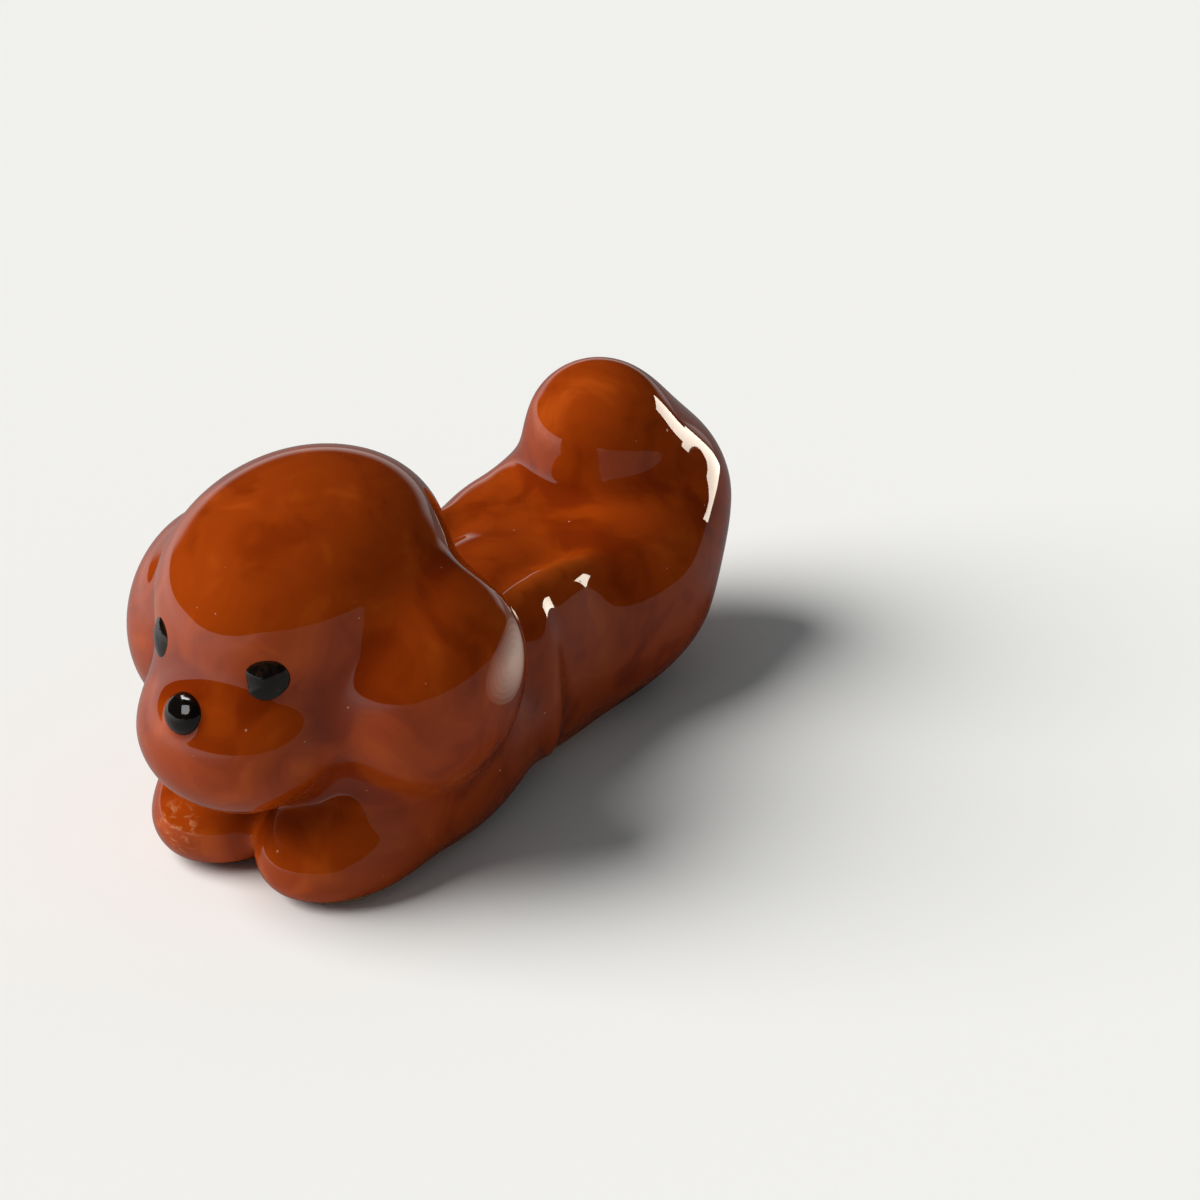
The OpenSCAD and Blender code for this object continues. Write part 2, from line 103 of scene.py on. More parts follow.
class Flow:
    """A number that flows through a node tree, so that the clay's rule reads as arithmetic."""

    def __init__(self, socket):
        self.socket = socket
        self.tree = socket.id_data

    def __add__(self, other):
        return number(self.tree, "ADD", self, other)

    def __sub__(self, other):
        return number(self.tree, "SUBTRACT", self, other)

    def __rsub__(self, other):
        return number(self.tree, "SUBTRACT", other, self)

    def __mul__(self, other):
        return number(self.tree, "MULTIPLY", self, other)

    def __truediv__(self, other):
        return number(self.tree, "DIVIDE", self, other)

    def __neg__(self):
        return self * -1.0


def feed(tree, socket, value):
    if isinstance(value, Flow):
        value = value.socket
    if isinstance(value, bpy.types.NodeSocket):
        tree.links.new(value, socket)
    else:
        socket.default_value = value


def number(tree, operation, *values):
    node = tree.nodes.new("ShaderNodeMath")
    node.operation = operation
    for socket, value in zip(node.inputs, values):
        feed(tree, socket, value)
    return Flow(node.outputs[0])


def vector(tree, operation, *values, scale=None):
    node = tree.nodes.new("ShaderNodeVectorMath")
    node.operation = operation
    for socket, value in zip(node.inputs, values):
        feed(tree, socket, value)
    if scale is not None:
        feed(tree, node.inputs["Scale"], scale)
    return Flow(node.outputs["Value" if operation in ("LENGTH", "DOT_PRODUCT") else "Vector"])


def lowest(a, b):
    return number(a.tree, "MINIMUM", a, b)


def highest(a, b):
    return number(a.tree, "MAXIMUM", a, b)


def size_of(a):
    return number(a.tree, "ABSOLUTE", a)


def below(a, b=0.0):
    return number(a.tree, "LESS_THAN", a, b)


def choose(condition, yes, no):
    """yes where the condition is 1, and no where it is 0."""
    return condition * (yes - no) + no


def parts_of(tree, value):
    """The X, Y and Z of a vector."""
    split = tree.nodes.new("ShaderNodeSeparateXYZ")
    feed(tree, split.inputs[0], value)
    return [Flow(socket) for socket in split.outputs]


def new_tree(name, inputs, outputs, kind="GeometryNodeTree"):
    """An empty group with named sockets; returns it, its inputs as flows and its output node."""
    tree = bpy.data.node_groups.new(name, kind)
    for label, socket in inputs:
        tree.interface.new_socket(label, in_out="INPUT", socket_type="NodeSocket" + socket)
    for label, socket in outputs:
        tree.interface.new_socket(label, in_out="OUTPUT", socket_type="NodeSocket" + socket)
    source = tree.nodes.new("NodeGroupInput")
    flows = [Flow(source.outputs[label]) for label, _ in inputs]
    return tree, flows, tree.nodes.new("NodeGroupOutput")


def use(tree, group, **values):
    """A group node in a tree, with its inputs fed by name; returns its outputs by name."""
    node = tree.nodes.new(tree.bl_idname.replace("Tree", "Group"))
    node.node_tree = group
    for label, value in values.items():
        feed(tree, node.inputs[label], value)
    return {socket.name: Flow(socket) for socket in node.outputs}


# ---------------------------------------------------------------- the clay's rule as node groups

def oval_lobe_group():
    """Height over an oval lobe of clay, negative inside."""
    tree, (place, middle, full, tilt), out = new_tree(
        "oval_lobe",
        [("Place", "Vector"), ("Middle", "Vector"), ("Size", "Vector"), ("Tilt", "Vector")],
        [("Height", "Float")])
    turn = tree.nodes.new("ShaderNodeVectorRotate")
    turn.rotation_type = "EULER_XYZ"
    turn.invert = True
    feed(tree, turn.inputs["Vector"], vector(tree, "SUBTRACT", place, middle))
    feed(tree, turn.inputs["Rotation"], tilt)
    half = vector(tree, "SCALE", full, scale=0.5)
    share = vector(tree, "DIVIDE", turn.outputs[0], half)
    depth = vector(tree, "LENGTH", share)
    slope = vector(tree, "LENGTH", vector(tree, "DIVIDE", share, half))
    feed(tree, out.inputs["Height"], depth * (depth - 1.0) / highest(slope, NO_SLOPE))
    return tree


def smoothed_group():
    """Two heights smoothed into one within a reach."""
    tree, (a, b, reach), out = new_tree(
        "smoothed", [("A", "Float"), ("B", "Float"), ("Reach", "Float")], [("Height", "Float")])
    near = highest(reach - size_of(a - b), 0.0)
    feed(tree, out.inputs["Height"], lowest(a, b) - near * near / (reach * 4.0))
    return tree


def clay_group(oval, smooth):
    """Heights over the skin and its nearest joint, the pad's number, and a crease's filling."""
    tree, (place,), out = new_tree(
        "lying_dog", [("Place", "Vector")],
        [("Height", "Float"), ("Joint", "Float"), ("Pad", "Float"), ("Crease", "Float")])
    far_place = vector(tree, "MULTIPLY", place, (-1.0, 1.0, 1.0))
    x, _, z = parts_of(tree, place)

    def over(name, far=False):
        middle, full, tilt = LOBES[name]
        return use(tree, oval, Place=far_place if far else place, Middle=middle, Size=full,
                   Tilt=tilt)["Height"]

    def blend(reach, height, *others):
        for other in others:
            height = use(tree, smooth, A=height, B=other, Reach=reach)["Height"]
        return height

    def joint(own, rest):
        return (own - lowest(rest, RIM)) * 0.5

    def nearer(a, b):
        return choose(below(size_of(a), size_of(b)), a, b)

    def pad_of(rest, *joints):
        """The number of the first pad whose joint is negative here, or else of the rest."""
        found = PIECES.index(rest)
        for name, own in reversed(joints):
            found = choose(below(own), PIECES.index(name), found)
        return found

    crown, muzzle, chest, belly, rump, tail = (
        over(name) for name in ("crown", "muzzle", "chest", "belly", "rump", "tail"))
    cheek, ear, arm, paw, haunch, flank, fold = (
        [over(name, far) for far in (False, True)]
        for name in ("cheek", "ear", "arm", "paw", "haunch", "flank", "fold"))

    crown_skin = blend(FACE_BLEND, crown, *cheek)
    face_skin = blend(FACE_BLEND, crown_skin, muzzle)
    head_skin = blend(EAR_BLEND, face_skin, *ear)
    sides_skin = blend(FLANK_BLEND, belly, *flank)
    belly_skin = blend(FOLD_BLEND, blend(SHOULDER_BLEND, chest, sides_skin), *fold)
    back_skin = blend(BACK_BLEND, belly_skin, *haunch, rump)

    def with_legs(trunk):
        return blend(PAW_BLEND, blend(ARM_BLEND, trunk, *arm), *paw)

    trunk_skin = with_legs(back_skin)
    body_skin = with_legs(blend(TAIL_BLEND, back_skin, tail))
    skin = blend(NECK_BLEND, head_skin, body_skin)

    # the joints, negative inside a pad, first on the dog's left and then on its right
    outwards, inwards = (x, -x), (-x, x)
    rump_skin = blend(BACK_BLEND, belly_skin, rump)
    head_joint = joint(head_skin, body_skin)
    muzzle_joint = joint(muzzle + MUZZLE_SEAM, crown_skin)
    tail_joint = joint(tail, trunk_skin)
    ear_joint = [highest(joint(ear[i], face_skin), EAR_SEAT - outwards[i]) for i in (0, 1)]
    leg_joint = [highest(joint(blend(ARM_BLEND, arm[i], paw[i]), back_skin), inwards[i])
                 for i in (0, 1)]
    haunch_joint = [highest(joint(haunch[i], rump_skin), HAUNCH_SEAT - outwards[i])
                    for i in (0, 1)]

    # the pad that a place belongs to, and the signed height over its nearest joint
    head_pad = pad_of("head", ("ear_left", ear_joint[0]), ("ear_right", ear_joint[1]),
                      ("muzzle", muzzle_joint))
    body_pad = pad_of("torso", ("tail", tail_joint), ("haunch_left", haunch_joint[0]),
                      ("haunch_right", haunch_joint[1]), ("foreleg_left", leg_joint[0]),
                      ("foreleg_right", leg_joint[1]))
    ears = nearer(*ear_joint)
    head_near = choose(below(ears), ears, nearer(ears, muzzle_joint))
    limbs = nearer(nearer(*haunch_joint), nearer(*leg_joint))
    body_near = choose(below(tail_joint), tail_joint, nearer(tail_joint, limbs))
    in_head = below(head_joint)
    feed(tree, out.inputs["Joint"], nearer(head_joint, choose(in_head, head_near, body_near)))
    feed(tree, out.inputs["Pad"], choose(in_head, head_pad, body_pad))

    # how far the smoothed skin stands out from the bare lobes, which is how deep a crease is filled
    bare = blend(BARE_BLEND, crown, muzzle, chest, belly, rump, tail,
                 *cheek, *ear, *arm, *paw, *haunch, *flank, *fold)
    feed(tree, out.inputs["Crease"], bare - skin)

    # the glaze climbs the nose bead, and rolls in to a flat underside at the glaze line
    waves = tree.nodes.new("ShaderNodeTexNoise")
    waves.inputs["Scale"].default_value = 1 / WAVE_LENGTH
    waves.inputs["Detail"].default_value = 0.0
    feed(tree, waves.inputs["Vector"], place)
    wavy = skin + (Flow(waves.outputs[0]) - 0.5) * WAVE_HEIGHT
    bead = vector(tree, "LENGTH", vector(tree, "SUBTRACT", place, tuple(NOSE_MIDDLE)))
    collared = blend(COLLAR_BLEND, wavy, bead - (NOSE_RADIUS - NOSE_COLLAR))
    rolled = -blend(GLAZE_ROLL, -collared, z - GLAZE_LINE)
    feed(tree, out.inputs["Height"], rolled + GLAZE_SINK)
    return tree


def slopes_group(clay):
    """The clay's heights at a place, with the slopes of its skin and of its nearest joint."""
    tree, (place,), out = new_tree(
        "slopes", [("Place", "Vector")],
        [("Height", "Float"), ("Slope", "Vector"), ("Joint", "Float"), ("Joint slope", "Vector"),
         ("Pad", "Float"), ("Crease", "Float")])
    here = use(tree, clay, Place=place)
    steps = [[SLOPE_STEP * (i == j) for j in range(3)] for i in range(3)]
    there = [use(tree, clay, Place=vector(tree, "ADD", place, step)) for step in steps]
    for label, slope_label in (("Height", "Slope"), ("Joint", "Joint slope")):
        join = tree.nodes.new("ShaderNodeCombineXYZ")
        for socket, beyond in zip(join.inputs, there):
            feed(tree, socket, (beyond[label] - here[label]) / SLOPE_STEP)
        feed(tree, out.inputs[slope_label], join.outputs[0])
    for label in ("Height", "Joint", "Pad", "Crease"):
        feed(tree, out.inputs[label], here[label])
    return tree


def rounding_group(clay):
    """The skin's upward normal at a place, and how sharply it is rounded within a reach."""
    tree, (place, reach), out = new_tree(
        "rounding", [("Place", "Vector"), ("Reach", "Float")],
        [("Up", "Vector"), ("Ridge", "Float")])
    total = use(tree, clay, Place=place)["Height"] * -6.0
    join = tree.nodes.new("ShaderNodeCombineXYZ")
    for axis in range(3):
        step = vector(tree, "SCALE", tuple(float(axis == i) for i in range(3)), scale=reach)
        ahead = use(tree, clay, Place=vector(tree, "ADD", place, step))["Height"]
        behind = use(tree, clay, Place=vector(tree, "SUBTRACT", place, step))["Height"]
        total = total + ahead + behind
        feed(tree, join.inputs[axis], ahead - behind)
    feed(tree, out.inputs["Up"], vector(tree, "NORMALIZE", join.outputs[0]))
    feed(tree, out.inputs["Ridge"], total / (reach * reach))
    return tree


def glazed_clay_tree(glaze):
    """The whole skin as one mesh, in metres, with its normals, pads and creases as attributes."""
    tree, (_, low, high, facet), out = new_tree(
        "glazed_clay",
        [("Geometry", "Geometry"), ("Lowest corner", "Vector"), ("Highest corner", "Vector"),
         ("Facet", "Float")],
        [("Geometry", "Geometry")])
    clay = clay_group(oval_lobe_group(), smoothed_group())
    slopes, rounding = slopes_group(clay), rounding_group(clay)
    position = tree.nodes.new("GeometryNodeInputPosition").outputs[0]

    # clay fills the space where its height is negative
    cube = tree.nodes.new("GeometryNodeVolumeCube")
    feed(tree, cube.inputs["Density"], SKIN_DENSITY - use(tree, clay, Place=position)["Height"])
    feed(tree, cube.inputs["Min"], low)
    feed(tree, cube.inputs["Max"], high)
    for axis, span in zip("XYZ", parts_of(tree, vector(tree, "SUBTRACT", high, low))):
        feed(tree, cube.inputs["Resolution " + axis], span / facet)
    mesher = tree.nodes.new("GeometryNodeVolumeToMesh")
    feed(tree, mesher.inputs["Volume"], cube.outputs[0])
    feed(tree, mesher.inputs["Threshold"], SKIN_DENSITY)
    mesh = mesher.outputs[0]

    def moved(mesh, **values):
        node = tree.nodes.new("GeometryNodeSetPosition")
        feed(tree, node.inputs["Geometry"], mesh)
        for label, value in values.items():
            feed(tree, node.inputs[label], value)
        return node.outputs[0]

    def onto_skin(mesh):
        at = use(tree, slopes, Place=position)
        steep = vector(tree, "DOT_PRODUCT", at["Slope"], at["Slope"])
        return moved(mesh, Offset=vector(tree, "SCALE", at["Slope"], scale=-at["Height"] / steep))

    def onto_joint(mesh):
        """Draws the nearest vertices along the skin to the joint, so that pads part cleanly."""
        at = use(tree, slopes, Place=position)
        up = vector(tree, "NORMALIZE", at["Slope"])
        lean = vector(tree, "DOT_PRODUCT", at["Joint slope"], up)
        along = vector(tree, "SUBTRACT", at["Joint slope"], vector(tree, "SCALE", up, scale=lean))
        steep = highest(vector(tree, "DOT_PRODUCT", along, along), LEAST_STEEPNESS)
        run = at["Joint"] / steep
        return moved(mesh, Offset=vector(tree, "SCALE", along, scale=-run),
                     Selection=below(size_of(run), facet * 0.5))

    def evened(mesh):
        """Spreads the vertices evenly, so that no facet is folded in a crease."""
        blur = tree.nodes.new("GeometryNodeBlurAttribute")
        blur.data_type = "FLOAT_VECTOR"
        blur.inputs["Iterations"].default_value = EVENING_ROUNDS
        value = next(socket for socket in blur.inputs if socket.enabled and socket.name == "Value")
        feed(tree, value, position)
        return moved(mesh, Position=next(socket for socket in blur.outputs if socket.enabled))

    for _ in range(SETTLING_ROUNDS):
        mesh = onto_skin(mesh)
    mesh = evened(mesh)
    for _ in range(SETTLING_ROUNDS):
        mesh = onto_skin(onto_joint(mesh))

    triangles = tree.nodes.new("GeometryNodeTriangulate")
    feed(tree, triangles.inputs[0], mesh)
    mesh = triangles.outputs[0]
    at = use(tree, slopes, Place=position)
    up = use(tree, rounding, Place=position, Reach=NORMAL_REACH)["Up"]
    ridge = use(tree, rounding, Place=position, Reach=RIDGE_REACH)["Ridge"]
    for name, kind, domain, value in (("normal_of_skin", "FLOAT_VECTOR", "POINT", up),
                                      ("pad", "FLOAT", "FACE", at["Pad"]),
                                      ("crease", "FLOAT", "POINT", at["Crease"]),
                                      ("ridge", "FLOAT", "POINT", ridge)):
        store = tree.nodes.new("GeometryNodeStoreNamedAttribute")
        store.data_type, store.domain = kind, domain
        feed(tree, store.inputs["Geometry"], mesh)
        feed(tree, store.inputs["Name"], name)
        feed(tree, store.inputs["Value"], value)
        mesh = store.outputs[0]

    mesh = moved(mesh, Offset=vector(tree, "SCALE", position, scale=MM - 1.0))
    realize = tree.nodes.new("GeometryNodeRealizeInstances")
    feed(tree, realize.inputs[0], mesh)
    paint = tree.nodes.new("GeometryNodeSetMaterial")
    feed(tree, paint.inputs["Geometry"], realize.outputs[0])
    paint.inputs["Material"].default_value = glaze
    feed(tree, out.inputs["Geometry"], paint.outputs[0])
    return tree


def made_by(tree, name, **values):
    """A plain mesh made by a tree on an empty object, with the tree's inputs set by identifier."""
    holder = bpy.data.objects.new(name, bpy.data.meshes.new(name))
    scene.collection.objects.link(holder)
    modifier = holder.modifiers.new("maker", "NODES")
    modifier.node_group = tree
    for item in tree.interface.items_tree:
        if item.in_out == "INPUT" and item.name in values:
            modifier[item.identifier] = values[item.name]
    evaluated = holder.evaluated_get(bpy.context.evaluated_depsgraph_get())
    mesh = bpy.data.meshes.new_from_object(evaluated)
    bpy.data.objects.remove(holder)
    return mesh


# ---------------------------------------------------------------- parting the skin into its pads

def values_of(layer, name, wide=1, kind=np.float32):
    """One property of every item in a layer of a mesh, as an array."""
    values = np.empty(len(layer) * wide, kind)
    layer.foreach_get(name, values)
    return values.reshape(-1, wide) if wide > 1 else values


def loops_of(edges):
    """Closed loops of directed edges."""
    after = {}
    for a, b in edges:
        after.setdefault(a, []).append(b)
    loops = []
    while after:
        start = next(iter(after))
        loop, here = [start], after[start].pop()
        while here != start:
            loop.append(here)
            here = after[here].pop()
        after = {a: b for a, b in after.items() if b}
        loops.append(loop)
    return loops


def object_of(name, node, slot, places, faces, material, normals=None, **values):
    """A finished piece of the object that replaces a node, from places in metres."""
    mesh = bpy.data.meshes.new(name)
    mesh.from_pydata(places.tolist(), [], [tuple(face) for face in faces])
    mesh.materials.append(material)
    mesh.shade_smooth()
    for label, numbers in values.items():
        mesh.attributes.new(label, "FLOAT", "POINT").data.foreach_set("value", numbers)
    if normals is not None:
        mesh.normals_split_custom_set(normals.tolist())
    piece = bpy.data.objects.new(name, mesh)
    scene.collection.objects.link(piece)
    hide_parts(node)
    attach(piece, "root")


def pad_pieces(skin, glaze):
    """One closed piece for each pad of clay. Its open rim is closed by a wall to a place inside."""
    layers = skin.attributes
    places = values_of(skin.vertices, "co", 3)
    faces = values_of(skin.loops, "vertex_index", kind=np.int32).reshape(-1, 3)
    up = values_of(layers["normal_of_skin"].data, "vector", 3)
    crease, ridge, pad = (
        values_of(layers[name].data, "value") for name in ("crease", "ridge", "pad"))
    pad = np.rint(pad).astype(int)
    for number_of_pad, name in enumerate(PIECES):
        kept, index = np.unique(faces[pad == number_of_pad], return_inverse=True)
        own = index.reshape(-1, 3)
        pad_places, pad_up = places[kept], up[kept]
        directed = {(int(face[a]), int(face[b]))
                    for face in own for a, b in ((0, 1), (1, 2), (2, 0))}
        rim = [(b, a) for a, b in directed if (b, a) not in directed]
        walls, hearts = [], []
        for loop in loops_of(rim):
            heart = len(kept) + len(hearts)
            ring = pad_places[loop]
            depth = pad_up[loop].mean(0) * HEART_DEPTH * np.ptp(ring, axis=0).max()
            hearts.append(ring.mean(0) - depth)
            walls += [(loop[i - 1], loop[i], heart) for i in range(len(loop))]
        all_places = np.vstack([pad_places, np.array(hearts).reshape(-1, 3)])
        all_faces = np.vstack([own, np.array(walls, int).reshape(-1, 3)])
        wall = all_places[all_faces[len(own):]]
        flat = np.cross(wall[:, 1] - wall[:, 0], wall[:, 2] - wall[:, 0])
        flat /= np.maximum(np.linalg.norm(flat, axis=1, keepdims=True), NO_AREA)
        normals = np.vstack([pad_up[own].reshape(-1, 3), np.repeat(flat, 3, axis=0)])
        inner = np.zeros(len(hearts), np.float32)
        object_of(name + "_glazed", name, "brown_glaze", all_places, all_faces, glaze, normals,
                  crease=np.append(crease[kept], inner), ridge=np.append(ridge[kept], inner))


# ---------------------------------------------------------------- materials

WINDOW_AZIMUTH, WINDOW_HEIGHT = 220, 42
SCUFFED_PAW = (-4.2, -22.6, 3.2)
GLASSY_IOR = 1.5

THIN_GLAZE, EVEN_GLAZE = (0.40, 0.064, 0.005), (0.285, 0.038, 0.0022)
THICK_GLAZE = (0.185, 0.020, 0.001)
PINHOLE_CLAY, RUBBED_CLAY = (0.62, 0.30, 0.16), (0.62, 0.30, 0.12)
BLACK, WARM_BLACK = (0.004, 0.003, 0.0025), (0.022, 0.010, 0.005)
ENAMEL_PIT, WORN_ENAMEL = (0.10, 0.045, 0.02), (0.07, 0.016, 0.003)
CLAY, DARK_CLAY = (0.50, 0.31, 0.18), (0.40, 0.24, 0.13)
CLAY_GRAIN, CLAY_SPECK = (0.62, 0.44, 0.30), (0.12, 0.06, 0.03)
TABLE, PALE_TABLE = (0.868, 0.862, 0.836), (0.876, 0.870, 0.844)


def shader(name):
    """A new material; returns it with its tree, its shader and a place in millimetres."""
    material = bpy.data.materials.new(name)
    material.use_nodes = True
    tree = material.node_tree
    place = tree.nodes.new("ShaderNodeTexCoord").outputs["Object"]
    return material, tree, tree.nodes["Principled BSDF"], vector(tree, "SCALE", place, scale=1 / MM)


def noise(tree, place, length, detail=2.0, twist=0.0):
    """Soft noise from 0 to 1, whose swells are about a length apart."""
    node = tree.nodes.new("ShaderNodeTexNoise")
    feed(tree, node.inputs["Vector"], place)
    node.inputs["Scale"].default_value = 1 / length
    node.inputs["Detail"].default_value = detail
    node.inputs["Distortion"].default_value = twist
    return Flow(node.outputs[0])


def ranged(value, low, high, to_low=0.0, to_high=1.0):
    node = value.tree.nodes.new("ShaderNodeMapRange")
    node.interpolation_type = "SMOOTHSTEP"
    for label, number_in in zip(("Value", "From Min", "From Max", "To Min", "To Max"),
                                (value, low, high, to_low, to_high)):
        feed(value.tree, node.inputs[label], number_in)
    return Flow(node.outputs[0])


def tint(tree, share, low, high):
    """A colour between two colours, each a flow or a value."""
    node = tree.nodes.new("ShaderNodeMix")
    node.data_type = "RGBA"
    feed(tree, node.inputs["Factor"], share)
    for socket, colour in ((node.inputs[6], low), (node.inputs[7], high)):
        feed(tree, socket, colour if isinstance(colour, Flow) else (*colour, 1.0))
    return Flow(node.outputs[2])


def stored(tree, name):
    node = tree.nodes.new("ShaderNodeAttribute")
    node.attribute_name = name
    return Flow(node.outputs["Fac"])


def relief(tree, height):
    """A bumped normal from a height in millimetres."""
    node = tree.nodes.new("ShaderNodeBump")
    node.inputs["Distance"].default_value = MM
    node.inputs["Strength"].default_value = 1.0
    feed(tree, node.inputs["Height"], height)
    return node.outputs[0]


def pinholes_group():
    """Sparse round specks, one to a cell: the mask of a pinhole and the height of its pit."""
    tree, (place, cell, size), out = new_tree(
        "pinholes", [("Place", "Vector"), ("Cell", "Float"), ("Size", "Float")],
        [("Mask", "Float"), ("Height", "Float")], "ShaderNodeTree")
    cells = tree.nodes.new("ShaderNodeTexVoronoi")
    feed(tree, cells.inputs["Vector"], vector(tree, "DIVIDE", place, cell))
    cells.inputs["Scale"].default_value = 1.0
    own = tree.nodes.new("ShaderNodeSeparateColor")
    feed(tree, own.inputs[0], cells.outputs["Color"])
    radius = Flow(own.outputs[0]) * Flow(own.outputs[1]) * size
    near = Flow(cells.outputs["Distance"]) * cell
    mask = ranged(near - radius, -0.03, 0.01, 1.0, 0.0)
    feed(tree, out.inputs["Mask"], mask)
    feed(tree, out.inputs["Height"], mask * -0.02)
    return tree


def mottling_group():
    """Clouds that glaze and clay settle into in the kiln, slow and fine."""
    tree, (place, slow, fine), out = new_tree(
        "kiln_mottling", [("Place", "Vector"), ("Slow length", "Float"), ("Fine length", "Float")],
        [("Clouds", "Float"), ("Grain", "Float")], "ShaderNodeTree")
    clouds = noise(tree, vector(tree, "DIVIDE", place, slow), 1.0, 3.0, 0.8)
    grain = noise(tree, vector(tree, "DIVIDE", place, fine), 1.0, 2.0)
    feed(tree, out.inputs["Clouds"], clouds)
    feed(tree, out.inputs["Grain"], grain)
    return tree


pinholes = pinholes_group()
mottling = mottling_group()


def mottled(tree, place, slow, fine):
    """Slow clouds and fine grain, by their lengths."""
    flows = use(tree, mottling, **{"Place": place, "Slow length": slow, "Fine length": fine})
    return flows["Clouds"], flows["Grain"]


def glaze_material():
    material, tree, principled, place = shader("caramel_glaze")
    clouds, grain = mottled(tree, place, 4.2, 0.5)
    specks = use(tree, pinholes, Place=place, Cell=1.3, Size=0.13)

    # thick and dark in creases and in the slow clouds, thin and orange on ridges
    pool = ranged(stored(tree, "crease"), 0.05, 0.9)
    thin = ranged(stored(tree, "ridge"), 0.2, 0.75)
    thickness = ranged(clouds, 0.25, 0.75) * 0.7 + pool * 0.5 - thin * 0.3 + 0.2
    colour = tint(tree, ranged(thickness, 0.0, 0.5), THIN_GLAZE, EVEN_GLAZE)
    colour = tint(tree, ranged(thickness, 0.5, 1.1), colour, THICK_GLAZE)
    colour = tint(tree, specks["Mask"] * 0.55, colour, PINHOLE_CLAY)

    # one paw is rubbed where it leant on the kiln shelf
    from_scuff = vector(tree, "LENGTH", vector(tree, "SUBTRACT", place, SCUFFED_PAW))
    rubs = noise(tree, vector(tree, "MULTIPLY", place, (1.0, 1.0, 1.8)), 0.6, 3.0, 0.6)
    scuffs = ranged(from_scuff, 0.7, 2.4, 1.0, 0.0) * ranged(rubs, 0.5, 0.74)
    feed(tree, principled.inputs["Base Color"], tint(tree, scuffs * 0.5, colour, RUBBED_CLAY))

    # a wet gloss, broken by pinholes and a faint kiln dust
    dust = ranged(grain, 0.62, 0.8)
    rough = dust * 0.03 + specks["Mask"] * 0.3 + scuffs * 0.25 + 0.03
    feed(tree, principled.inputs["Roughness"], rough)
    ripple = noise(tree, place, 2.2, 1.0) * 0.006
    feed(tree, principled.inputs["Normal"], relief(tree, ripple + specks["Height"]))
    principled.inputs["IOR"].default_value = GLASSY_IOR
    return material


def enamel_material():
    material, tree, principled, place = shader("black_enamel")
    clouds, grain = mottled(tree, place, 0.8, 0.16)
    specks = use(tree, pinholes, Place=place, Cell=0.7, Size=0.12)
    colour = tint(tree, ranged(clouds, 0.45, 0.8), BLACK, WARM_BLACK)
    colour = tint(tree, specks["Mask"] * 0.7, colour, ENAMEL_PIT)
    worn = ranged(stored(tree, "rim") + grain * 0.35, 1.02, 1.3)
    feed(tree, principled.inputs["Base Color"], tint(tree, worn, colour, WORN_ENAMEL))
    feed(tree, principled.inputs["Roughness"], grain * 0.10 + 0.02)
    swell = clouds * 0.03 + grain * 0.002
    feed(tree, principled.inputs["Normal"], relief(tree, swell + specks["Height"]))
    principled.inputs["IOR"].default_value = GLASSY_IOR
    return material


def bare_clay_material():
    material, tree, principled, place = shader("bare_clay")
    clouds, grain = mottled(tree, place, 6.0, 0.18)
    specks = use(tree, pinholes, Place=place, Cell=0.8, Size=0.35)
    colour = tint(tree, ranged(clouds, 0.35, 0.7), CLAY, DARK_CLAY)
    colour = tint(tree, grain * 0.5, colour, CLAY_GRAIN)
    feed(tree, principled.inputs["Base Color"], tint(tree, specks["Mask"], colour, CLAY_SPECK))
    feed(tree, principled.inputs["Roughness"], grain * 0.2 + 0.72)
    feed(tree, principled.inputs["Normal"], relief(tree, grain * 0.05 + specks["Height"]))
    return material


def floor_material():
    """A white floor. The colour that the glaze mirrors is painted darker on the side away from the
    window: painted shade.
    """
    material, tree, principled, place = shader("table_top")
    x, y, _ = parts_of(tree, place)
    window_side = math.radians(WINDOW_AZIMUTH)
    towards = x * math.cos(window_side) + y * math.sin(window_side)
    facing = highest(towards / vector(tree, "LENGTH", place), 0.0)
    # painted shade: the floor's colour as the glaze mirrors it, 0.22 away from the window and
    # rising towards the window's side
    painted_shade_level = ranged(towards, -10, 150, 0.0, 0.97) * facing + 0.22
    mirrored = tree.nodes.new("ShaderNodeCombineColor")
    for socket in mirrored.inputs[:3]:
        feed(tree, socket, painted_shade_level)
    path = tree.nodes.new("ShaderNodeLightPath")
    plain = tint(tree, noise(tree, place, 0.4, 2.0), TABLE, PALE_TABLE)
    # camera and diffuse rays see the plain white table; glossy rays see the painted shade
    feed(tree, principled.inputs["Base Color"],
         tint(tree, Flow(path.outputs["Is Glossy Ray"]), plain, Flow(mirrored.outputs[0])))
    principled.inputs["Roughness"].default_value = 0.9
    principled.inputs["Specular IOR Level"].default_value = 0.0
    return material


glaze = glaze_material()
enamel = enamel_material()
bare_clay = bare_clay_material()

skin = made_by(glazed_clay_tree(glaze), "glazed_clay",
               **{"Lowest corner": SKIN_LOW, "Highest corner": SKIN_HIGH, "Facet": FACET})
pad_pieces(skin, glaze)


# ---------------------------------------------------------------- enamel beads and the foot

under_enamel = BVHTree.FromPolygons([v.co / MM for v in skin.vertices],
                                    [tuple(p.vertices) for p in skin.polygons])
bpy.data.meshes.remove(skin)


def ringed_faces(rings, spokes):
    """Faces of a cap, outwards: a pole, then rings of spokes."""
    faces = [(0, 1 + k, 1 + (k + 1) % spokes) for k in range(spokes)]
    for ring in range(rings - 1):
        start = 1 + ring * spokes
        for k in range(spokes):
            right = (k + 1) % spokes
            faces.append((start + k, start + spokes + k, start + spokes + right, start + right))
    return faces


